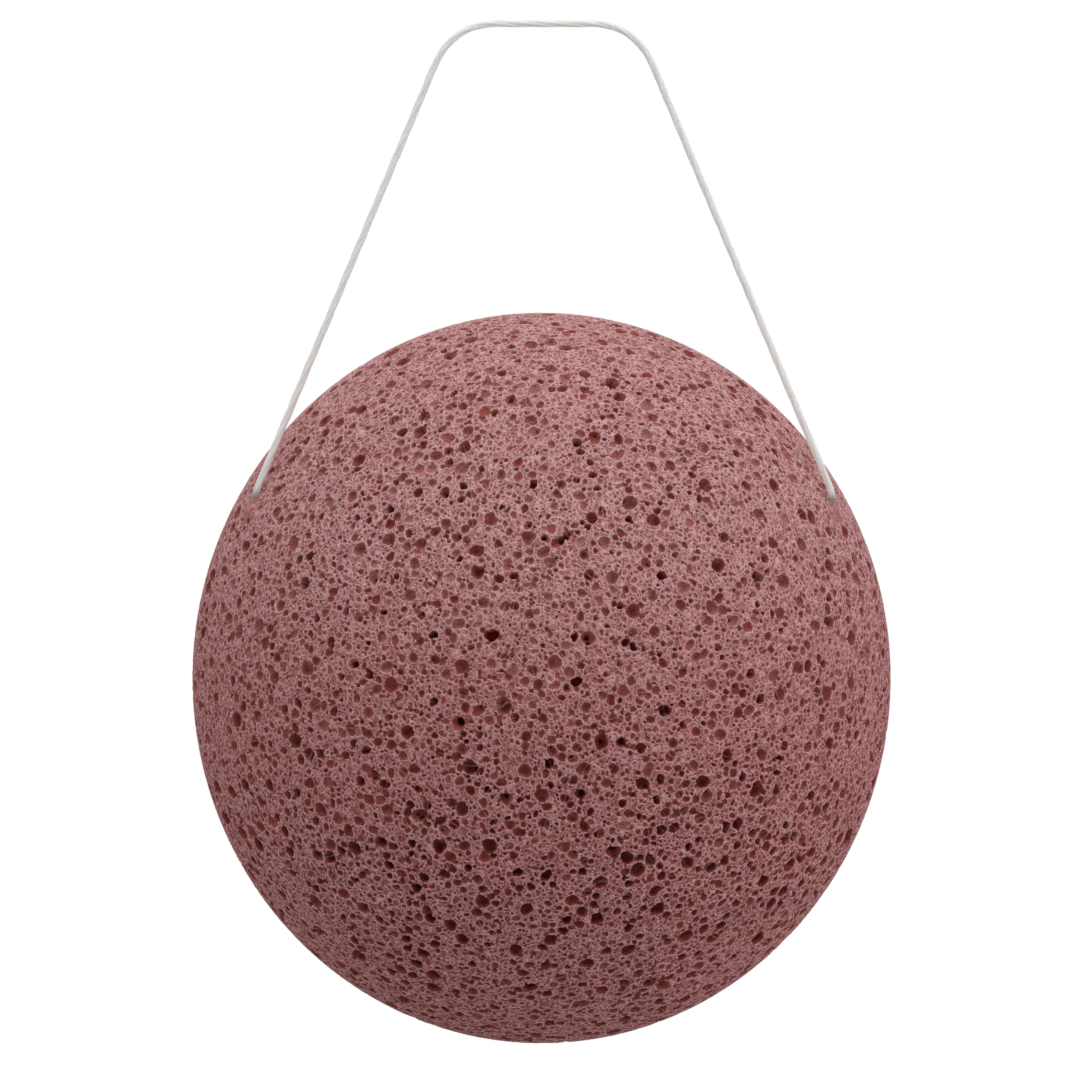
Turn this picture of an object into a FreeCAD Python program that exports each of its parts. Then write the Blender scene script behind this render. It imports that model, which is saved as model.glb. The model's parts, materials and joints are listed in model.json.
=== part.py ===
"""A half-ball konjac sponge that hangs on a loop of cotton string threaded through it.

Millimetres. The origin is the hang point, under the string at the middle of the loop's top. +Z is up,
the sponge's dome faces -Y, its flat back faces +Y, and the string passes through the sponge along X.
"""
import FreeCAD, Part
import math
import os
import random

from FreeCAD import Vector

# Sponge
sponge_width = 78.0
sponge_height = 81.6
sponge_thickness = 36.0
edge_radius = 7.0  # the rolled edge between the dome and the flat back

# Largest opened cells of the foam, spread over the dome: hollows with flat walls
pore_count = 100
pore_corners = 5
pore_width = 1.4
pore_depth = 1.1
pore_variation = 0.25  # how far a pore may be from the usual size, either way
pore_stray = 0.35  # how far a pore may lie from its even place, against their spacing
pore_seed = 5

# String
string_diameter = 0.75
channel_rise = 19.2  # how far the string passes above the sponge's middle
channel_clearance = 0.05  # round the string, all along the channel

# Dimple that the string pulls into the foam at each mouth of the channel
dimple_radius = 2.0
dimple_depth = 0.7

# Barrel knot that closes the loop, and the pocket that the foam leaves round it
knot_wraps = 3
wrap_bevel = 0.2  # on the shoulders of each wrap
pocket_clearance = 0.3

# The free loop's route, left half: out from the channel's mouth, and up from the channel.
# The right half mirrors it. The long run is the taut leg, which the sponge's weight pulls straight.
loop_points = [
    (-1.5, 0.0),
    (0.5, 0.0),
    (0.3, 1.9),
    (-22.1, 53.6),
]
loop_corner_radius = 7.5  # at the top corners, the size of what the loop hangs over
arc_share = 0.45  # the most of a run that one of its two arcs may take up

string_radius = string_diameter / 2
knot_radius = string_diameter + string_radius  # each wrap lies over one thickness of string
channel_radius = string_radius + channel_clearance
channel_height = string_radius - loop_points[-1][1]
sponge_middle = channel_height - channel_rise

GOLDEN_ANGLE = math.pi * (3 - math.sqrt(5))
ORIGIN = Vector(0, 0, 0)
ACROSS = Vector(1, 0, 0)
BACKWARD = Vector(0, 1, 0)
UPWARD = Vector(0, 0, 1)


def dome_and_edge(diameter):
    """The dome's radius, and the middle of the rolled edge's arc in the half section."""
    edge_middle = Vector(0, -edge_radius, diameter / 2 - edge_radius)
    front = sponge_thickness - edge_radius
    dome_radius = (front ** 2 + edge_middle.z ** 2 - edge_radius ** 2) / (2 * (front - edge_radius))
    return dome_radius, edge_middle


def dome_profile(diameter):
    """Half section of a round sponge in the YZ plane, with its back on Y = 0 and its axis on Y.

    A large arc, the dome, runs into a small one, the rolled edge, and that into the flat back.
    """
    dome_radius, edge_middle = dome_and_edge(diameter)
    dome_middle = Vector(0, dome_radius - sponge_thickness, 0)
    apex = Vector(0, -sponge_thickness, 0)
    towards_edge = (edge_middle - dome_middle).normalize()
    seam = dome_middle + towards_edge * dome_radius
    halfway_up = (towards_edge - BACKWARD).normalize()
    back_rim = edge_middle + BACKWARD * edge_radius
    edge_crown = edge_middle + (towards_edge + BACKWARD).normalize() * edge_radius
    return Part.Wire([
        Part.Arc(apex, dome_middle + halfway_up * dome_radius, seam).toShape(),
        Part.Arc(seam, edge_crown, back_rim).toShape(),
        Part.LineSegment(back_rim, ORIGIN).toShape(),
        Part.LineSegment(ORIGIN, apex).toShape(),
    ])


def plain_sponge():
    """The foam before it is threaded: a turned dome, drawn out a little along its longer side.

    It is placed so that the channel, on Y = 0, is level with its centre of mass and it hangs upright.
    """
    section = Part.Face(dome_profile(min(sponge_width, sponge_height)))
    drawn_out = abs(sponge_height - sponge_width)
    end = section.revolve(ORIGIN, BACKWARD, 180)
    end.translate(ACROSS * (drawn_out / 2))
    pieces = [end]
    if drawn_out:
        middle = section.extrude(ACROSS * drawn_out)
        middle.translate(ACROSS * (-drawn_out / 2))
        pieces.append(middle)
    other_half = [piece.rotated(ORIGIN, BACKWARD, 180) for piece in pieces]
    foam = end.fuse(pieces[1:] + other_half).removeSplitter().Solids[0]
    if sponge_height > sponge_width:
        foam.rotate(ORIGIN, BACKWARD, -90)
    foam.translate(Vector(0, -foam.CenterOfMass.y, sponge_middle))
    return foam


def pore_solid(middle, outward, turn, size):
    """A pointed hollow with flat walls that opens along the outward way, as a solid to cut with."""
    across = outward.cross(BACKWARD).normalize()
    upward = across.cross(outward)
    rise = outward * (pore_depth * size)
    tip = middle - rise
    lid = []  # as far above the surface as the tip is below it, so twice as wide as the pore's mouth
    for corner in range(pore_corners):
        angle = turn + 2 * math.pi * corner / pore_corners
        way = across * math.cos(angle) + upward * math.sin(angle)
        lid.append(middle + rise + way * (pore_width * size))
    outlines = [lid] + [[first, second, tip] for first, second in zip(lid, lid[1:] + lid[:1])]
    faces = [Part.Face(Part.makePolygon(outline + outline[:1])) for outline in outlines]
    return Part.Solid(Part.Shell(faces))


def pores(foam, mouth):
    """The largest opened cells: even places on the dome, each moved a little, clear of the mouths."""
    diameter = min(sponge_width, sponge_height)
    dome_radius, edge_middle = dome_and_edge(diameter)
    long_way = UPWARD if sponge_height > sponge_width else ACROSS
    half_drawn_out = abs(sponge_height - sponge_width) / 2
    dome_middle = Vector(0, foam.BoundBox.YMin + dome_radius, sponge_middle)
    seam_cosine = (dome_radius - sponge_thickness - edge_middle.y) / (dome_radius - edge_radius)
    spacing = dome_radius * math.sqrt(2 * math.pi * (1 - seam_cosine) / pore_count)
    mouths = [Vector(side * mouth, 0, channel_height) for side in (-1, 1)]
    chance = random.Random(pore_seed)
    solids = []
    for number in range(pore_count):
        cosine = 1 - (1 - seam_cosine) * (number + 0.5) / pore_count
        tilt = math.acos(cosine) + chance.uniform(-pore_stray, pore_stray) * spacing / dome_radius
        turn = number * GOLDEN_ANGLE
        size = 1 + chance.uniform(-pore_variation, pore_variation)
        outward = Vector(math.sin(tilt) * math.cos(turn), -math.cos(tilt), math.sin(tilt) * math.sin(turn))
        middle = dome_middle + outward * dome_radius
        middle += long_way * math.copysign(half_drawn_out, outward.dot(long_way))
        if min(middle.distanceToPoint(place) for place in mouths) > dimple_radius + pore_width:
            solids.append(pore_solid(middle, outward, turn, size))
    return solids


def mouth_distance(foam):
    """How far from the middle the channel's axis comes out of the foam."""
    axis = Part.LineSegment(Vector(0, 0, channel_height), Vector(sponge_width, 0, channel_height))
    return axis.toShape().common(foam).Length


def rounded_route(points, radii):
    """Straight runs through the points, with a tangent arc of the given radius at each inner point."""
    edges = []
    start = points[0]
    for before, corner, after, radius in zip(points, points[1:], points[2:], radii):
        inward = (before - corner).normalize()
        outward = (after - corner).normalize()
        half_angle = inward.getAngle(outward) / 2
        reach = radius / math.tan(half_angle)
        middle = corner + (inward + outward).normalize() * (radius / math.sin(half_angle))
        crown = middle + (corner - middle).normalize() * radius
        arc_start = corner + inward * reach
        arc_end = corner + outward * reach
        edges.append(Part.LineSegment(start, arc_start).toShape())
        edges.append(Part.Arc(arc_start, crown, arc_end).toShape())
        start = arc_end
    edges.append(Part.LineSegment(start, points[-1]).toShape())
    return Part.Wire(edges)


def widest_radius(before, corner, after):
    """The largest arc at a corner that takes up no more than its share of either run."""
    turn = (corner - before).getAngle(after - corner)
    shorter = min((corner - before).Length, (after - corner).Length)
    return arc_share * shorter / math.tan(turn / 2)


def string_tube(route):
    """A round string along a route, which starts along X."""
    section = Part.Circle(route.OrderedVertexes[0].Point, ACROSS, string_radius).toShape()
    return route.makePipe(Part.Face(Part.Wire(section)))


def loop_solid(mouth):
    """The free stretch of string, from inside the left mouth to inside the right one."""
    left = [Vector(-mouth - out, 0, channel_height + up) for out, up in loop_points]
    right = [Vector(-point.x, 0, point.z) for point in reversed(left)]
    points = left + right
    radii = [widest_radius(*three) for three in zip(points, points[1:], points[2:])]
    top = len(left) - 2
    radii[top] = loop_corner_radius
    radii[top + 1] = loop_corner_radius
    route = rounded_route(points, radii)
    tube = string_tube(route)
    expected = math.pi * string_radius ** 2 * route.Length
    print("loop points", [(round(point.x, 3), round(point.z, 3)) for point in points])
    print("loop arc radii", [round(radius, 2) for radius in radii])
    print("loop length", round(route.Length, 2), "volume over section times length", tube.Volume / expected)
    return tube


def inner_run(side, knot_end, loop_end):
    """The string's straight stretch inside the foam, from the knot to the loop, on the given side."""
    start = Vector(side * knot_end, 0, channel_height)
    return Part.makeCylinder(string_radius, loop_end - knot_end, start, ACROSS * side)


def knot_solid():
    """A barrel knot: wraps of string side by side, turned about the channel's axis."""
    start = -knot_wraps * string_diameter / 2
    outline = [Vector(start, 0, 0)]
    for wrap in range(knot_wraps):
        left = start + wrap * string_diameter
        outline.append(Vector(left, 0, string_diameter))
        outline.append(Vector(left + wrap_bevel, 0, knot_radius))
        outline.append(Vector(left + string_diameter - wrap_bevel, 0, knot_radius))
    outline.append(Vector(-start, 0, string_diameter))
    outline.append(Vector(-start, 0, 0))
    knot = Part.Face(Part.makePolygon(outline + outline[:1])).revolve(ORIGIN, ACROSS, 360)
    knot.translate(UPWARD * channel_height)
    return knot


def threaded_sponge(foam, mouth, knot_half):
    """The foam with its pores, its channel, a dimple at each mouth and the pocket for the knot."""
    start = Vector(-sponge_width, 0, channel_height)
    channel = Part.makeCylinder(channel_radius, 2 * sponge_width, start, ACROSS)
    pocket_half = knot_half + pocket_clearance
    pocket_radius = knot_radius + pocket_clearance
    pocket_start = Vector(-pocket_half, 0, channel_height)
    pocket = Part.makeCylinder(pocket_radius, 2 * pocket_half, pocket_start, ACROSS)
    dimple_middle = mouth + dimple_radius - dimple_depth
    dimples = [
        Part.makeSphere(dimple_radius, Vector(side * dimple_middle, 0, channel_height))
        for side in (-1, 1)
    ]
    return foam.cut([channel, pocket] + dimples + pores(foam, mouth))


def single_solid(shape, name):
    """The shape's one solid, checked."""
    assert shape.isValid() and len(shape.Solids) == 1, name
    return shape.Solids[0]


def main():
    foam = plain_sponge()
    mouth = mouth_distance(foam)
    knot_half = knot_wraps * string_diameter / 2
    loop_end = mouth + loop_points[0][0]
    nodes = {
        "sponge_body": threaded_sponge(foam, mouth, knot_half),
        "string_loop": loop_solid(mouth),
        "string_inner_left": inner_run(-1, knot_half, loop_end),
        "string_inner_right": inner_run(1, knot_half, loop_end),
        "string_knot": knot_solid(),
    }
    os.makedirs("parts", exist_ok=True)
    for name, shape in nodes.items():
        solid = single_solid(shape, name)
        solid.exportStep(f"parts/{name}.step")
        box = solid.BoundBox
        print(name, round(solid.Volume, 2), [round(v, 3) for v in (
            box.XMin, box.YMin, box.ZMin, box.XMax, box.YMax, box.ZMax)])
    print("channel height", channel_height, "mouth", round(mouth, 3), "sponge middle", sponge_middle)


main()
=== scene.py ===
"""Looks of a konjac sponge that hangs on a loop of cotton string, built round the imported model.

Metres, in the model's frame: the origin is under the top of the loop, +Z is up, the dome faces -Y.
"""

import json
import math
import random

import bpy
import numpy as np
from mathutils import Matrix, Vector
from mathutils.kdtree import KDTree


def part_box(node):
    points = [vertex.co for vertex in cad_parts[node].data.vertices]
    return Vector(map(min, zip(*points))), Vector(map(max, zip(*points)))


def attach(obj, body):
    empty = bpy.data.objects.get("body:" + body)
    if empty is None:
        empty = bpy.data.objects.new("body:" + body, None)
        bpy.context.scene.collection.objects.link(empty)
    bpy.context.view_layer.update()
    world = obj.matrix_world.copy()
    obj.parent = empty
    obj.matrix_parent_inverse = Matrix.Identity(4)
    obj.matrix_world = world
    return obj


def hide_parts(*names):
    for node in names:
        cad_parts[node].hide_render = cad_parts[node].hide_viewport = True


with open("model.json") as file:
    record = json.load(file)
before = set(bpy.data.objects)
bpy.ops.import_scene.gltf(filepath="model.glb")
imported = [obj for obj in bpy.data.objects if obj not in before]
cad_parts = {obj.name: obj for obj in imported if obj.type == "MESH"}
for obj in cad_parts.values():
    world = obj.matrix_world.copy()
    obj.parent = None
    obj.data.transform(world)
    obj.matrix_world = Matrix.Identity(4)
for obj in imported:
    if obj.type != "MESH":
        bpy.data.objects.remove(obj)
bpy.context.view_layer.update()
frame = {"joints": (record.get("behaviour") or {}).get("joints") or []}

MM = 0.001

# Sponge, with its outer sizes from the model
sponge_low, sponge_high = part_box("sponge_body")
half_width = (sponge_high.x - sponge_low.x) / 2
half_height = (sponge_high.z - sponge_low.z) / 2
stretch = half_height / half_width
sponge_middle = (sponge_high.z + sponge_low.z) / 2
sponge_front = sponge_low.y
sponge_back = sponge_high.y
edge_radius = 7.7 * MM  # a little more than the model's, to meet the string's ends at the mouths

# Foam surface
foam_seed = 17
foam_cells = 400  # along each edge of the cube that the surface is gridded as
back_density = 0.45  # grid density on the back, against the front's
profile_steps = 3000
curved_points = 2 * profile_steps - 1  # of the profile, on the dome and the rolled edge
map_margin = 0.01  # left free round each cube face on the flat map, against the face

# Largest pores, placed on the dome as in the model
pore_count = 100
pore_radius = 0.64 * MM
pore_depth = 1.1 * MM
pore_variation = 0.25  # how far a pore may be from the usual size, either way
pore_stray = 0.35  # how far a pore may lie from its even place, against their spacing
pore_seed = 5
golden_angle = math.pi * (3 - math.sqrt(5))

# Bubbles that the foam's surface cuts open: how many to a square centimetre, and their radii
bubble_kinds = [
    (8.0, 0.60 * MM, 0.85 * MM),
    (30.0, 0.42 * MM, 0.60 * MM),
    (95.0, 0.28 * MM, 0.42 * MM),
    (380.0, 0.15 * MM, 0.28 * MM),
]
bubble_depths = (-0.85, 0.3)  # of their middles under the surface, against their radii

# Bubbles further down, which only show where they open into the ones above
deep_kinds = [
    (14.0, 0.45 * MM, 0.70 * MM),
    (20.0, 0.28 * MM, 0.45 * MM),
]
deep_depths = (1.2, 2.6)
deep_rounds = 2  # how often the surface is let down into them
deepest = 2.6 * MM  # the furthest that the surface sinks

# Form of the bubbles
square_centimetres = 1e4  # in a square metre
bubble_squash = 0.24  # how far a bubble may be from round
wall_share = 0.93  # least distance between two bubbles, against their radii added up
bubble_cell = 2.4 * MM  # edge of the cubes that bubbles are looked up in
lip_height = 0.04 * MM
lip_width = 0.10 * MM
warp_reach = 0.10 * MM  # how far the walls wander from true ellipsoids
warp_waves = 9
warp_lengths = (0.7, 2.2)  # of those waves, in millimetres

# Thin walls left across some of the larger bubbles
strut_share = 0.22  # of the larger bubbles, how many keep one
strut_least = 0.28 * MM  # radius of the smallest bubble that may
strut_half = 0.06 * MM
strut_stray = 0.35  # how far it may lie from the bubble's middle, against the radius
strut_depths = (0.3, 0.7)  # how far down it lies, against the bubble's floor

# Shoulder between the dome and the rolled edge, by the surface's tilt in radians
shoulder_start = (0.75, 1.15)
shoulder_end = (1.5, 1.9)
shoulder_widening = 0.08  # of the bubbles, against their radii
shoulder_rise = 0.1

# Lower part of the sponge
low_full = 26.0 * MM  # under the middle, where the lower pores reach their full depth
low_none = 4.0 * MM  # above the middle, where they start
low_sinking = 0.3  # of the lower bubbles, against their radii
painted_shade_reach = 25.0 * MM  # above and under the middle, the stretch on which painted shade turns the foam darker and redder towards the bottom

# Mouths of the string: a smooth swelling that closes over it where it turns into the foam
swell_drop = 0.75 * MM
swell_radius = 1.1 * MM
swell_height = 0.5 * MM
patch_radius = 1.4 * MM
pore_clearance = 0.3  # how near to a mouth the largest pores come, 1 being in it
bubble_clearance = (0.2, 0.5)  # the same for the bubbles, at random between these

# String
string_radius = 0.375 * MM
channel_height = frame["joints"][0]["pos_m"][2]
knot_wraps = 3
knot_steps = 40  # to a wrap
ply_count = 3
ply_pitch = 10.5 * MM
ply_offset = 0.24 * string_radius
ply_radius = 0.82 * string_radius
ply_sides = 12
string_step = 0.12 * MM
end_shade_start = 3.0 * MM  # from the string's end, where its painted shade starts
end_shade_full = 1.7 * MM  # from the string's end, where its painted shade is darkest

# Left half of the loop's route in millimetres, across and up. The right half mirrors it.
# The fourth and fifth points hold the leg straight, and the seventh the loop's top.
loop_left = [
    (-30.703, -53.225),
    (-32.22, -53.225),
    (-31.88, -51.325),
    (-31.14, -49.564),
    (-14.286, -9.4),
    (-10.184, 0.375),
    (-0.3, 0.375),
]
loop_shift = 0.25 * MM  # the loop hangs this far to the right of the sponge's middle
route_steps = 40  # from each of the route's points to the next

# Layers of the foam material, with their scales to a metre
cloud_scale = 130.0
felt_scale = 1300.0
grain_scale = 5000.0
wide_cell_scale = 1900.0
fine_cell_scale = 3600.0
bend_scale = 1600.0
bend_reach = 0.3 * MM  # how far the cells' walls are bent
foam_bump = 0.10 * MM
felt_relief = 0.6  # against the cells' walls
hollow_relief = 0.8

# Fibres of the cotton, with their scales along the string and round each ply
fibre_scales = (500.0, 14.0, 1.0)
fibre_bump = 0.04 * MM

# Camera and stage
view_centre = Vector((-0.17 * MM, 8.6 * MM, -57.0 * MM))
view_width = 121.04 * MM
camera_distance = 1.0
sensor_width = 36.0
floor_height = -0.5
floor_radius = 3.0
floor_sides = 96

# Lamps: name, place, size and power. All of them face the sponge.
lamps = [
    ("key", (0.24, -0.36, 1.05), 1.0, 9.1),
    ("left_side", (-0.9, -0.36, 0.65), 1.4, 7.4),
    ("right_side", (1.12, -0.36, 0.07), 1.5, 8.0),
    ("low_fill", (0.0, -0.41, -0.43), 0.25, 0.33),
    ("back_fill", (-0.4, 1.1, 0.5), 1.0, 3.5),
]
room_strength = 0.27
backdrop_strength = 1.0


def srgb(red, green, blue):
    """A colour given in 0 to 255 as it shows, as the linear colour that the nodes take."""
    shares = [value / 255 for value in (red, green, blue)]
    linear = [s / 12.92 if s <= 0.04045 else ((s + 0.055) / 1.055) ** 2.4 for s in shares]
    return (*linear, 1.0)


# Colours. Those in high and low are for the upper and the lower part of the sponge. The low ones carry
# painted light and shade for the lower part: paler walls, and darker hollows and pore floors.
white = (1.0, 1.0, 1.0, 1.0)
skin_dark = srgb(127, 66, 65)
skin_light = srgb(157, 96, 96)
skin_cloud = srgb(153, 93, 92)
wall_high = srgb(219, 175, 175)
wall_painted_light_low = srgb(236, 200, 201)
fine_wall_pale = srgb(199, 152, 152)
hollow_high = srgb(106, 41, 38)
hollow_painted_shade_low = srgb(76, 18, 16)
pore_red = srgb(150, 68, 59)
pore_faint_high = srgb(188, 134, 128)
pore_faint_painted_shade_low = srgb(172, 112, 105)
pore_grain = srgb(132, 62, 54)
pore_wall = srgb(198, 144, 141)
# Painted shade in the pits: darker and redder the deeper they go, and darker still in the lower part.
pore_deep_painted_shade = srgb(126, 24, 18)
pore_painted_shade_low = srgb(74, 11, 8)
strut_pale = srgb(205, 158, 157)
mouth_skin = srgb(176, 118, 114)
painted_shade_low_multiplier = (1.0, 0.78, 0.78, 1.0)  # painted shade: what the lower part's colour is multiplied by, to darken and redden it
cotton_dark = srgb(214, 211, 208)
cotton_light = srgb(233, 231, 228)
# Painted shade on the string's ends, where they go into the foam.
cotton_end_shade = srgb(150, 130, 120)
floor_lit = srgb(150, 149, 148)
floor_seen = srgb(236, 235, 233)


def smooth_step(low, high, values):
    """0 below low, 1 above high, and smooth between them."""
    share = np.clip((values - low) / (high - low), 0, 1)
    return share * share * (3 - 2 * share)


# The sponge's plain surface

def dome_shape():
    """The dome's radius, the rolled edge's distance from the axis, and the tilt where they meet."""
    edge_middle = half_width - edge_radius
    thickness = sponge_back - sponge_front
    reach = thickness - edge_radius
    dome_radius = (reach ** 2 + edge_middle ** 2 - edge_radius ** 2) / (2 * (reach - edge_radius))
    seam = math.atan2(edge_middle, dome_radius - reach)
    return dome_radius, edge_middle, seam


def sponge_profile():
    """Half section from the dome's tip to the middle of the back.

    Gives the distance from the axis, the place along Y and the normal's angle from the dome's axis.
    """
    dome_radius, edge_middle, seam = dome_shape()
    dome_middle = sponge_front + dome_radius
    dome = np.linspace(0, seam, profile_steps)
    edge = np.linspace(seam, math.pi, profile_steps)[1:]
    flat = np.linspace(edge_middle, 0, profile_steps)[1:]
    away = np.concatenate([
        dome_radius * np.sin(dome),
        edge_middle + edge_radius * np.sin(edge),
        flat,
    ])
    along = np.concatenate([
        dome_middle - dome_radius * np.cos(dome),
        sponge_back - edge_radius - edge_radius * np.cos(edge),
        np.full(flat.size, sponge_back),
    ])
    tilt = np.concatenate([dome, edge, np.full(flat.size, math.pi)])
    return away, along, tilt


def strip_areas(away, along):
    """Areas, over pi, of the round strips between the profile's points."""
    return np.hypot(np.diff(away), np.diff(along)) * (away[1:] + away[:-1])


def area_shares(away, along, back_weight):
    """The share of the surface's area up to each point of the profile, with the flat back weighted."""
    areas = strip_areas(away, along)
    areas[curved_points - 1:] *= back_weight
    total = np.concatenate([[0], np.cumsum(areas)])
    return total / total[-1]


def surface(shares, azimuths, table, profile):
    """Places, outward normals and tilts on the plain sponge, by area share and azimuth."""
    away, along, tilt = (np.interp(shares, table, values) for values in profile)
    across = np.cos(azimuths)
    upward = np.sin(azimuths)
    places = np.stack([away * across, along, sponge_middle + away * upward * stretch], axis=1)
    normals = np.stack([np.sin(tilt) * across, -np.cos(tilt), np.sin(tilt) * upward / stretch], axis=1)
    normals /= np.linalg.norm(normals, axis=1)[:, None]
    return places, normals, tilt


def cube_shell(cells):
    """A cube's surface as a lattice: corners from -1 to 1, quads, and the quads' places on a flat map."""
    steps = np.arange(cells + 1)
    u, v = np.meshgrid(steps, steps, indexing="ij")
    weights = np.array([1, cells + 1, (cells + 1) ** 2])
    map_size = 1 - 2 * map_margin
    quads = []
    maps = []
    for face in range(6):
        axis, far_side = divmod(face, 2)
        corner = np.empty((cells + 1, cells + 1, 3), int)
        corner[..., axis] = far_side * cells
        corner[..., (axis + 1) % 3] = u
        corner[..., (axis + 2) % 3] = v
        codes = corner @ weights
        map_across = (axis + map_margin + map_size * u / cells) / 3
        map_up = (far_side + map_margin + map_size * v / cells) / 2
        flat = np.stack([map_across, map_up], axis=2)
        ways = [np.s_[:-1, :-1], np.s_[1:, :-1], np.s_[1:, 1:], np.s_[:-1, 1:]]
        if not far_side:
            ways.reverse()
        quads.append(np.stack([codes[way].ravel() for way in ways], axis=1))
        maps.append(np.stack([flat[way].reshape(-1, 2) for way in ways], axis=1))
    codes, quads = np.unique(np.concatenate(quads), return_inverse=True)
    corners = np.stack([codes // weight % (cells + 1) for weight in weights], axis=1)
    return corners / cells * 2 - 1, quads.reshape(-1, 4), np.concatenate(maps)


# Bubbles

def shoulder(tilt):
    """1 on the shoulder between the dome and the rolled edge, where the pores are wider and shallower."""
    return smooth_step(*shoulder_start, tilt) * (1 - smooth_step(*shoulder_end, tilt))


def lowness(places):
    """0 on the upper part of the sponge, rising to 1 near its bottom, where the pores are deeper and the
    foam has painted light and shade.
    """
    return 1 - smooth_step(sponge_middle - low_full, sponge_middle + low_none, places[:, 2])


def near_mouth(places, radius):
    """1 in the nearer of the two mouths, a little under the string's turn, and fading round it."""
    turn = -loop_left[1][0] * MM
    height = channel_height - swell_drop
    spots = np.array([[side * turn + loop_shift, 0, height] for side in (-1, 1)])
    gap = np.linalg.norm(places[:, None, :] - spots, axis=2).min(axis=1)
    return np.exp(-(gap / radius) ** 2)


def largest_pores(profile, taken):
    """The model's own pores, as bubbles: the middle, radius and depth of each."""
    dome_radius, _, seam = dome_shape()
    spacing = dome_radius * math.sqrt(2 * math.pi * (1 - math.cos(seam)) / pore_count)
    chance = random.Random(pore_seed)
    tilts = []
    sizes = []
    for number in range(pore_count):
        even = math.acos(1 - (1 - math.cos(seam)) * (number + 0.5) / pore_count)
        tilts.append(even + chance.uniform(-pore_stray, pore_stray) * spacing / dome_radius)
        sizes.append(1 + chance.uniform(-pore_variation, pore_variation))
    away, along, tilt = profile
    table = area_shares(away, along, 1.0)
    shares = np.interp(tilts, tilt[:curved_points], table[:curved_points])
    places, normals, _ = surface(shares, np.arange(pore_count) * golden_angle, table, profile)
    made = []
    for place, normal, size in zip(places, normals, sizes):
        depth = (pore_depth - pore_radius) * size
        middle = place - normal * depth
        if near_mouth(place[None], 2 * patch_radius)[0] < pore_clearance:
            key = tuple(np.floor(middle / bubble_cell).astype(int))
            taken.setdefault(key, []).append((middle, pore_radius * size))
            made.append((middle, pore_radius * size, depth))
    return made


def scatter(rng, kinds, depth_range, profile, taken):
    """Bubbles of the given kinds, in their order, each clear of those already taken.

    A bubble is its middle, radius and the depth of its middle under the surface.
    """
    away, along, _ = profile
    table = area_shares(away, along, 1.0)
    area = math.pi * stretch * np.sum(strip_areas(away, along))
    made = []
    for per_square_cm, least, most in kinds:
        count = int(per_square_cm * area * square_centimetres)
        places, normals, tilt = surface(rng.random(count), rng.random(count) * 2 * math.pi, table, profile)
        radii = rng.uniform(least, most, count) * (1 + shoulder_widening * shoulder(tilt))
        depths = rng.uniform(*depth_range, count)
        depths = depths - shoulder_rise * shoulder(tilt) + low_sinking * lowness(places)
        depths *= radii
        middles = places - normals * depths[:, None]
        keep = near_mouth(places, patch_radius) < rng.uniform(*bubble_clearance, count)
        keys = np.floor(middles / bubble_cell).astype(int)
        for i in np.flatnonzero(keep):
            key = tuple(keys[i])
            nearby = [
                other
                for dx in (-1, 0, 1) for dy in (-1, 0, 1) for dz in (-1, 0, 1)
                for other in taken.get((key[0] + dx, key[1] + dy, key[2] + dz), ())
            ]
            if any(
                math.dist(middles[i], place) < wall_share * (radii[i] + radius)
                for place, radius in nearby
            ):
                continue
            taken.setdefault(key, []).append((middles[i], radii[i]))
            made.append((middles[i], radii[i], depths[i]))
    return made


def wander(rng, places):
    """A smooth, seeded displacement of each place, so that no bubble's wall is a true ellipsoid."""
    moved = np.zeros_like(places)
    for axis in range(3):
        for _ in range(warp_waves):
            way = rng.normal(size=3)
            way *= 2 * math.pi / (rng.uniform(*warp_lengths) * MM) / np.linalg.norm(way)
            moved[:, axis] += np.sin(places @ way + rng.uniform(0, 2 * math.pi))
    return moved * warp_reach / math.sqrt(warp_waves)


def carve(rng, bubbles, tree, places, normals, shifts, foam):
    """Lets the surface sink to the far wall of each bubble that it lies in, and marks lips and tints."""
    for middle, radius, depth in bubbles:
        squash_way = rng.normal(size=3)
        squash_way /= np.linalg.norm(squash_way)
        squash = rng.uniform(-bubble_squash, bubble_squash)
        tint = rng.random()
        strut = rng.random() < strut_share and radius > strut_least
        strut_way = rng.normal(size=3)
        strut_place = rng.uniform(-strut_stray, strut_stray) * radius
        strut_drop = rng.uniform(*strut_depths)
        reach = math.hypot(radius * (1 + bubble_squash) + lip_width * 2, max(depth, 0))
        found = tree.find_range(middle, reach)
        if not found:
            continue
        index = np.fromiter((item[1] for item in found), int, len(found))
        ways = normals[index]
        start = places[index] + shifts[index] - ways * foam["sunk"][index, None] - middle
        start += squash * (start @ squash_way)[:, None] * squash_way
        along = ways + squash * (ways @ squash_way)[:, None] * squash_way
        speed = np.einsum("ij,ij->i", along, along)
        lead = np.einsum("ij,ij->i", start, along)
        beyond = np.einsum("ij,ij->i", start, start) - radius ** 2
        inside = beyond < 0
        hit = index[inside]
        exit_way = (lead + np.sqrt(np.maximum(lead ** 2 - speed * beyond, 0))) / speed
        depths = exit_way[inside]
        if strut:
            strut_way -= ways[0] * (ways[0] @ strut_way)
            strut_way /= np.linalg.norm(strut_way)
            on_strut = np.abs(start[inside] @ strut_way - strut_place) < strut_half
            depths = np.where(on_strut, depths * strut_drop, depths)
            foam["strut"][hit[on_strut]] = 1
        foam["sunk"][hit] += depths
        foam["tint"][hit] = tint
        if abs(depth) < radius:  # only a bubble that the plain surface cuts has a lip
            outside = index[~inside]
            gap = np.sqrt(np.maximum(beyond[~inside] + radius ** 2, 0)) - radius
            lip = np.exp(-(gap / lip_width) ** 2)
            foam["lip"][outside] = np.maximum(foam["lip"][outside], lip)


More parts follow.
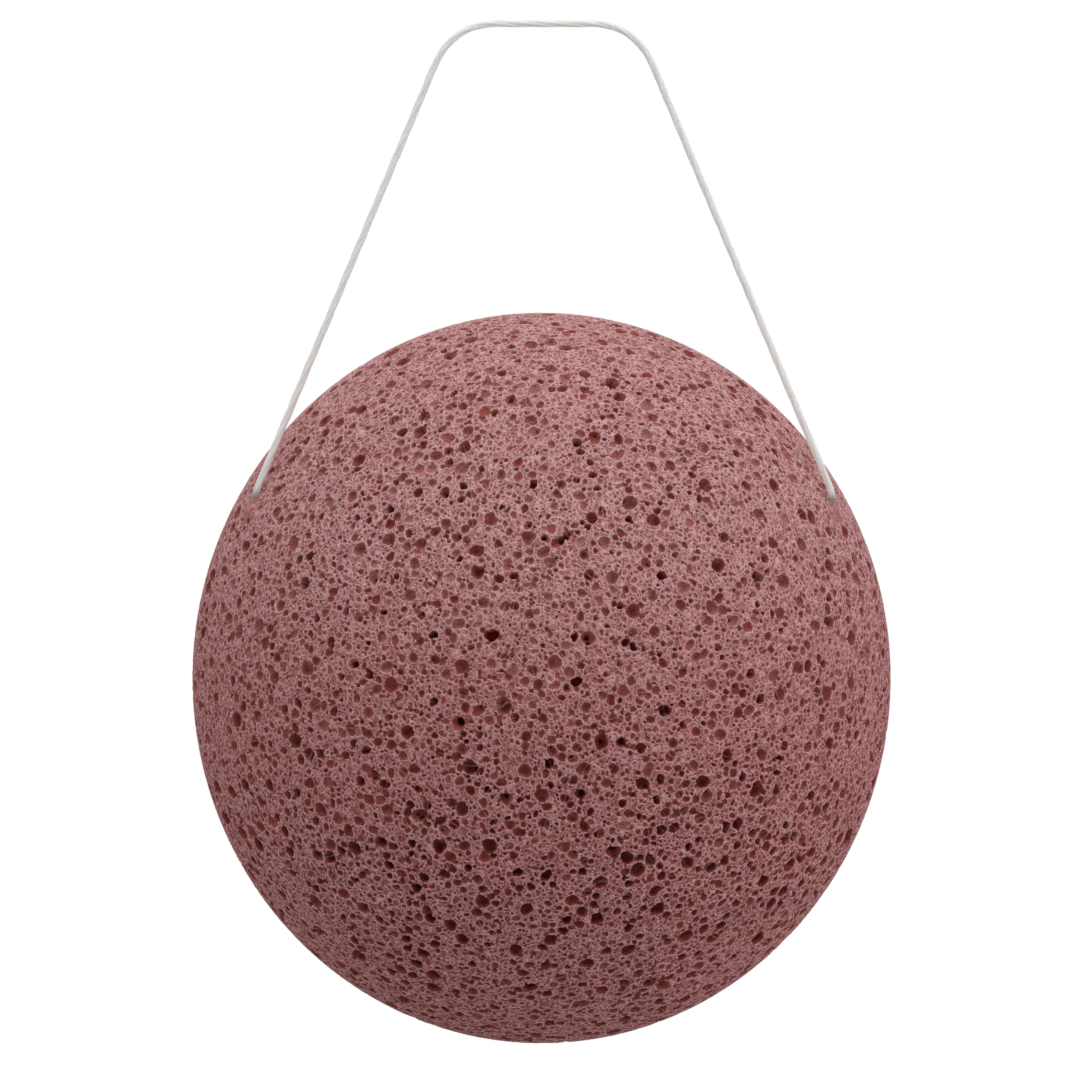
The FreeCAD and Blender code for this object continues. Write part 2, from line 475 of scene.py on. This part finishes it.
def foam_relief(places, normals, profile):
    """How far the surface sinks at each place, with its lips, and the tint and struts of its bubbles."""
    rng = np.random.default_rng(foam_seed)
    tree = KDTree(len(places))
    for number, place in enumerate(places):
        tree.insert(place, number)
    tree.balance()
    foam = {name: np.zeros(len(places)) for name in ("sunk", "lip", "tint", "strut")}
    shifts = wander(rng, places)
    taken = {}
    bubbles = largest_pores(profile, taken)
    bubbles += scatter(rng, bubble_kinds, bubble_depths, profile, taken)
    deep_bubbles = scatter(rng, deep_kinds, deep_depths, profile, {})
    carve(rng, bubbles, tree, places, normals, shifts, foam)
    opened = foam["sunk"] > 0
    for _ in range(deep_rounds):
        carve(rng, deep_bubbles, tree, places, normals, shifts, foam)
        foam["sunk"][~opened] = 0
    foam["lip"][opened] = 0
    foam["sunk"] = np.minimum(foam["sunk"], deepest)
    return foam


# Meshes

def quad_piece(name, places, quads, map_name, maps, marks, material):
    """A smooth piece made of quads, with a flat map and with marks that its material reads."""
    mesh = bpy.data.meshes.new(name)
    mesh.vertices.add(len(places))
    mesh.vertices.foreach_set("co", places.astype(np.float32).ravel())
    mesh.loops.add(quads.size)
    mesh.loops.foreach_set("vertex_index", quads.ravel().astype(np.int32))
    mesh.polygons.add(len(quads))
    mesh.polygons.foreach_set("loop_start", np.arange(0, quads.size, 4, dtype=np.int32))
    mesh.uv_layers.new(name=map_name).uv.foreach_set("vector", maps.astype(np.float32).ravel())
    for mark, values in marks.items():
        mesh.attributes.new(mark, "FLOAT", "POINT").data.foreach_set("value", values.astype(np.float32))
    mesh.update(calc_edges=True)
    mesh.shade_smooth()
    mesh.validate()
    mesh.materials.append(material)
    piece = bpy.data.objects.new(name, mesh)
    bpy.context.scene.collection.objects.link(piece)
    return piece


def make_sponge():
    """The foam body: a fine closed grid whose surface sinks into every bubble that it cuts."""
    profile = sponge_profile()
    corners, quads, maps = cube_shell(foam_cells)
    ways = np.tan(corners * math.pi / 4)
    ways /= np.linalg.norm(ways, axis=1)[:, None]
    table = area_shares(*profile[:2], back_density)
    azimuths = np.arctan2(ways[:, 2], ways[:, 0])
    places, normals, _ = surface((1 + ways[:, 1]) / 2, azimuths, table, profile)
    foam = foam_relief(places, normals, profile)
    swell = swell_height * near_mouth(places, swell_radius)
    offset = foam["lip"] * lip_height - foam["sunk"] + swell
    # pit, low and down also lead the material's painted light and shade: darker deep pits, and a darker
    # lower part with paler walls.
    marks = {
        "pit": foam["sunk"] / deepest,
        "lip": foam["lip"],
        "strut": foam["strut"],
        "tint": foam["tint"],
        "low": lowness(places),
        "down": 1 - smooth_step(-painted_shade_reach, painted_shade_reach, places[:, 2] - sponge_middle),
        "patch": near_mouth(places, patch_radius),
    }
    sunk_places = places + normals * offset[:, None]
    sponge = quad_piece("sponge_foam", sunk_places, quads, "OFBake", maps, marks, foam_material())
    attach(sponge, "sponge")
    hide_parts("sponge_body")


# String

def smooth_route(points):
    """Points close together on the smooth curve that the route's points pull."""
    curve = bpy.data.curves.new("route", "CURVE")
    curve.dimensions = "3D"
    curve.resolution_u = route_steps
    spline = curve.splines.new("NURBS")
    spline.points.add(len(points) - 1)
    for pull, point in zip(spline.points, points):
        pull.co = (*point, 1)
    spline.order_u = 3
    spline.use_endpoint_u = True
    holder = bpy.data.objects.new("route", curve)
    line = bpy.data.meshes.new_from_object(holder)
    places = np.array([vertex.co for vertex in line.vertices])
    bpy.data.meshes.remove(line)
    bpy.data.objects.remove(holder)
    bpy.data.curves.remove(curve)
    return places


def even_steps(line, step):
    """The same line with its points a step apart, and how far along it each of them is."""
    travelled = np.concatenate([[0], np.cumsum(np.linalg.norm(np.diff(line, axis=0), axis=1))])
    stations = np.linspace(0, travelled[-1], max(2, round(travelled[-1] / step)))
    places = np.stack([np.interp(stations, travelled, line[:, axis]) for axis in range(3)], axis=1)
    return places, stations


def twisted_string(name, lines, replaced, cotton):
    """Plies of cotton laid round each of the lines, as one mesh with a map of fibre ways."""
    corners = []
    quads = []
    maps = []
    from_end = []
    quad_ways = ((0, 0), (0, 1), (1, 1), (1, 0))
    nudge = 1e-6  # gives the side way a length where a line points along Y
    for line in lines:
        centre, travelled = even_steps(line, string_step)
        ahead = np.gradient(centre, axis=0)
        ahead /= np.linalg.norm(ahead, axis=1)[:, None]
        side = np.cross(ahead, [0, 1, 0]) + nudge
        side /= np.linalg.norm(side, axis=1)[:, None]
        other = np.cross(ahead, side)
        for ply in range(ply_count):
            turn = 2 * math.pi * (travelled / ply_pitch + ply / ply_count)
            outward = np.cos(turn)[:, None] * side + np.sin(turn)[:, None] * other
            middle = centre + outward * ply_offset
            first = sum(len(block) for block in corners)
            ring = 2 * math.pi * np.arange(ply_sides) / ply_sides
            around = (
                np.cos(ring)[None, :, None] * outward[:, None, :]
                + np.sin(ring)[None, :, None] * np.cross(ahead, outward)[:, None, :]
            )
            corners.append((middle[:, None, :] + around * ply_radius).reshape(-1, 3))
            from_end.append(np.repeat(np.minimum(travelled, travelled[-1] - travelled), ply_sides))
            rows, columns = np.meshgrid(np.arange(len(centre) - 1), np.arange(ply_sides), indexing="ij")
            quads.append(first + np.stack([
                (rows + onward) * ply_sides + (columns + beside) % ply_sides
                for onward, beside in quad_ways
            ], axis=2).reshape(-1, 4))
            maps.append(np.stack([
                np.stack([travelled[rows + onward], (columns + beside) / ply_sides + ply], axis=2)
                for onward, beside in quad_ways
            ], axis=2).reshape(-1, 4, 2))
    places = np.concatenate(corners)
    # from_end leads the painted shade on the string's ends.
    marks = {"from_end": np.concatenate(from_end)}
    piece = quad_piece(
        name, places, np.concatenate(quads), "fibres", np.concatenate(maps), marks, cotton)
    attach(piece, "string")
    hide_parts(replaced)
    return piece


def make_string():
    """The free loop, its two stretches inside the foam and the knot that closes it."""
    cotton = cotton_material()
    left = [Vector((x * MM, 0, z * MM)) for x, z in loop_left]
    right = [Vector((-point.x, 0, point.z)) for point in reversed(left)]
    route = left + right
    for point in route[1:-1]:
        point.x += loop_shift
    loop_line = smooth_route(route)
    loop = twisted_string("string_loop_plies", [loop_line], "string_loop", cotton)
    loop.visible_shadow = False  # the photograph shows no shadow of the string on the foam
    knot_half = knot_wraps * string_radius
    for side, name in ((-1, "left"), (1, "right")):
        line = np.array([[side * knot_half, 0, channel_height], [-side * left[0].x, 0, channel_height]])
        twisted_string(f"string_{name}_plies", [line], f"string_inner_{name}", cotton)
    turns = np.linspace(0, 2 * math.pi * (knot_wraps - 1), knot_steps * knot_wraps)
    wraps = np.stack([
        np.linspace(string_radius - knot_half, knot_half - string_radius, turns.size),
        2 * string_radius * np.cos(turns),
        channel_height + 2 * string_radius * np.sin(turns),
    ], axis=1)
    core = np.array([[-knot_half, 0, channel_height], [knot_half, 0, channel_height]])
    knot = twisted_string("string_knot_plies", [core, wraps], "string_knot", cotton)


# Materials

class Nodes:
    """The node tree of a material or a world, with short ways to add to it."""

    def __init__(self, owner):
        self.owner = owner
        owner.use_nodes = True
        self.tree = owner.node_tree
        self.shader = self.tree.nodes.get("Principled BSDF")

    def fill(self, node, inputs):
        """Sets a node's inputs, or links them to other nodes' outputs."""
        for key, value in inputs.items():
            if isinstance(value, bpy.types.NodeSocket):
                self.tree.links.new(value, node.inputs[key])
            else:
                node.inputs[key].default_value = value
        return node

    def add(self, kind, inputs, **settings):
        node = self.tree.nodes.new(kind)
        for name, value in settings.items():
            setattr(node, name, value)
        return self.fill(node, inputs)

    def mix(self, share, first, second):
        """A colour between two."""
        return self.add("ShaderNodeMix", {0: share, 6: first, 7: second}, data_type="RGBA").outputs[2]

    def tinge(self, colour, other, share, most):
        """A colour with another mixed into it: as much as most says, where the share is 1."""
        return self.mix(self.maths("MULTIPLY", share, most), colour, other)

    def ramp(self, value, start, full):
        """0 up to start, 1 from full on, and smooth between them."""
        limits = {0: value, 1: start, 2: full, 3: 0.0, 4: 1.0}
        return self.add("ShaderNodeMapRange", limits, interpolation_type="SMOOTHSTEP").outputs[0]

    def maths(self, operation, *values):
        return self.add("ShaderNodeMath", dict(enumerate(values)), operation=operation).outputs[0]

    def vectors(self, operation, *values):
        return self.add("ShaderNodeVectorMath", dict(enumerate(values)), operation=operation).outputs[0]

    def noise(self, place, scale, detail=2.0, output="Fac"):
        node = self.add("ShaderNodeTexNoise", {"Vector": place, "Scale": scale, "Detail": detail})
        return node.outputs[output]

    def attribute(self, name):
        return self.add("ShaderNodeAttribute", {}, attribute_name=name).outputs["Fac"]

    def seen(self):
        """1 for what the camera sees, straight or by way of something shiny or clear, else 0."""
        path = self.add("ShaderNodeLightPath", {}).outputs
        seen = self.maths("MAXIMUM", path["Is Camera Ray"], path["Is Glossy Ray"])
        return self.maths("MAXIMUM", seen, path["Is Transmission Ray"])

    def finish(self, colour, height, bump_distance, bump_strength, roughness, specular):
        bump = self.add("ShaderNodeBump", {
            "Height": height, "Distance": bump_distance, "Strength": bump_strength})
        self.fill(self.shader, {
            "Base Color": colour,
            "Normal": bump.outputs["Normal"],
            "Roughness": roughness,
            "Specular IOR Level": specular,
        })
        return self.owner


def fine_cells(nodes, place, scale):
    """A layer of fine cells at a scale: their walls, their hollows and a random number for each."""
    walls = nodes.add("ShaderNodeTexVoronoi", {"Vector": place, "Scale": scale}, feature="DISTANCE_TO_EDGE")
    cells = nodes.add("ShaderNodeTexVoronoi", {"Vector": place, "Scale": scale})
    parts = nodes.add("ShaderNodeSeparateColor", {"Color": cells.outputs["Color"]})
    wall = nodes.maths("SUBTRACT", 1.0, nodes.ramp(walls.outputs["Distance"], start=0.02, full=0.13))
    hollow = nodes.maths("SUBTRACT", 1.0, nodes.ramp(cells.outputs["Distance"], start=0.2, full=0.5))
    hollow = nodes.maths("MULTIPLY", hollow, nodes.ramp(parts.outputs[1], start=0.3, full=0.6))
    return wall, hollow, parts.outputs[0]


def foam_material():
    """Mauve foam: two sizes of fine cell with pale walls, paler lips and brick-red floors, with painted
    shade that turns the deeper pits maroon and darkens the lower part, where the walls are painted paler.
    """
    nodes = Nodes(bpy.data.materials.new("puffed_konjac"))
    place = nodes.add("ShaderNodeTexCoord", {}).outputs["Object"]
    pit = nodes.attribute("pit")
    low = nodes.attribute("low")
    down = nodes.attribute("down")
    cloud = nodes.noise(place, cloud_scale)
    felt = nodes.noise(place, felt_scale, 3.0)
    grain = nodes.noise(place, grain_scale)
    bend = nodes.noise(place, bend_scale, 1.0, "Color")
    bend = nodes.vectors("MULTIPLY", bend, (bend_reach, bend_reach, bend_reach))
    bent = nodes.vectors("ADD", place, bend)
    wide_wall, wide_hollow, wide_shade = fine_cells(nodes, bent, wide_cell_scale)
    fine_wall, fine_hollow, _ = fine_cells(nodes, bent, fine_cell_scale)
    torn = nodes.ramp(felt, start=0.35, full=0.6)
    wide_wall = nodes.maths("MULTIPLY", wide_wall, torn)
    hollow = nodes.maths("MAXIMUM", wide_hollow, fine_hollow)

    # Skin between the pores
    skin = nodes.mix(wide_shade, skin_dark, skin_light)
    skin = nodes.tinge(skin, skin_cloud, nodes.ramp(cloud, start=0.35, full=0.7), most=0.4)
    # Painted light and shade on the lower part: its walls are paler and its hollows darker.
    pale = nodes.mix(low, wall_high, wall_painted_light_low)
    dark = nodes.mix(low, hollow_high, hollow_painted_shade_low)
    skin = nodes.tinge(skin, dark, hollow, most=0.85)
    skin = nodes.tinge(skin, fine_wall_pale, fine_wall, most=0.5)
    skin = nodes.tinge(skin, pale, wide_wall, most=0.85)
    skin = nodes.tinge(skin, pale, nodes.attribute("lip"), most=0.9)

    # Floors of the pores
    # Painted shade: the faint floors turn darker towards the bottom.
    faint = nodes.mix(down, pore_faint_high, pore_faint_painted_shade_low)
    red = nodes.mix(nodes.attribute("tint"), pore_red, faint)
    red = nodes.tinge(red, pore_grain, nodes.ramp(grain, start=0.35, full=0.7), most=0.6)
    red = nodes.tinge(red, pore_wall, wide_wall, most=0.3)
    # Painted shade: the deeper a pit, the darker and redder its floor.
    red = nodes.mix(nodes.ramp(pit, start=0.16, full=0.6), red, pore_deep_painted_shade)
    # Painted shade: the pits in the lower part turn near-black.
    low_pit_shade = nodes.maths("MULTIPLY", nodes.ramp(pit, start=0.04, full=0.25), low)
    red = nodes.tinge(red, pore_painted_shade_low, low_pit_shade, most=0.75)
    red = nodes.tinge(red, strut_pale, nodes.attribute("strut"), most=0.7)

    colour = nodes.tinge(skin, red, nodes.ramp(pit, start=0.008, full=0.06), most=0.92)
    # Painted shade: the whole colour turns darker and redder towards the bottom.
    colour = nodes.vectors("MULTIPLY", colour, nodes.mix(down, white, painted_shade_low_multiplier))
    colour = nodes.tinge(colour, mouth_skin, nodes.attribute("patch"), most=0.55)
    height = nodes.maths("ADD", nodes.maths("MULTIPLY", felt, felt_relief), wide_wall)
    height = nodes.maths("SUBTRACT", height, nodes.maths("MULTIPLY", hollow, hollow_relief))
    return nodes.finish(colour, height, foam_bump, bump_strength=0.7, roughness=0.95, specular=0.05)


def cotton_material():
    """Off-white cotton: fine fibres along each ply, a little darker where they part, with painted shade on
    the ends that go into the foam.
    """
    nodes = Nodes(bpy.data.materials.new("twisted_cotton"))
    fibres = nodes.add("ShaderNodeUVMap", {}, uv_map="fibres").outputs["UV"]
    ways = nodes.add("ShaderNodeMapping", {"Vector": fibres, "Scale": fibre_scales}).outputs["Vector"]
    streak = nodes.noise(ways, 1.0, 3.0)
    colour = nodes.mix(nodes.ramp(streak, start=0.3, full=0.7), cotton_dark, cotton_light)
    # Painted shade on the string's last few millimetres, where it goes into the foam.
    unshaded_end = nodes.ramp(nodes.attribute("from_end"), start=end_shade_full, full=end_shade_start)
    colour = nodes.mix(nodes.maths("SUBTRACT", 1.0, unshaded_end), colour, cotton_end_shade)
    nodes.fill(nodes.shader, {
        "Subsurface Weight": 0.5,
        "Subsurface Radius": (1.0, 1.0, 1.0),
        "Subsurface Scale": 2 * string_radius,
    })
    return nodes.finish(colour, streak, fibre_bump, bump_strength=0.5, roughness=0.85, specular=0.2)


# Stage, lights and camera

def make_stage():
    """A plain floor well under the hanging sponge, paler to the camera than to the light on it."""
    bpy.ops.mesh.primitive_circle_add(
        vertices=floor_sides, radius=floor_radius, fill_type="NGON", location=(0, 0, floor_height))
    floor = bpy.context.object
    floor.name = "floor"
    nodes = Nodes(bpy.data.materials.new("floor"))
    shade = nodes.mix(nodes.seen(), floor_lit, floor_seen)
    nodes.fill(nodes.shader, {"Base Color": shade, "Roughness": 0.9})
    floor.data.materials.append(nodes.owner)


def make_light():
    """Soft lamps above, at both sides, below and behind, in a dim room that shows as white."""
    for name, place, size, power in lamps:
        lamp = bpy.data.lights.new(name, "AREA")
        lamp.size = size
        lamp.energy = power
        holder = bpy.data.objects.new(name, lamp)
        holder.location = place
        aim = Vector((0, 0, sponge_middle)) - holder.location
        holder.rotation_euler = aim.to_track_quat("-Z", "Y").to_euler()
        bpy.context.scene.collection.objects.link(holder)
    world = bpy.data.worlds.new("room")
    bpy.context.scene.world = world
    nodes = Nodes(world)
    room = nodes.fill(nodes.tree.nodes["Background"], {"Color": white, "Strength": room_strength})
    backdrop = nodes.add("ShaderNodeBackground", {"Color": white, "Strength": backdrop_strength})
    choice = nodes.add("ShaderNodeMixShader", {
        0: nodes.seen(), 1: room.outputs[0], 2: backdrop.outputs[0]})
    nodes.fill(nodes.tree.nodes["World Output"], {"Surface": choice.outputs[0]})


def make_camera():
    """Level with the middle of the picture, looking straight at the dome through a long lens."""
    data = bpy.data.cameras.new("camera")
    data.sensor_width = sensor_width
    data.lens = sensor_width * camera_distance / view_width
    camera = bpy.data.objects.new("camera", data)
    camera.location = view_centre - Vector((0, camera_distance, 0))
    camera.rotation_euler = (math.pi / 2, 0, 0)
    bpy.context.scene.collection.objects.link(camera)
    bpy.context.scene.camera = camera


make_camera()
make_string()
make_sponge()
make_stage()
make_light()
bpy.context.scene.view_settings.view_transform = "Standard"
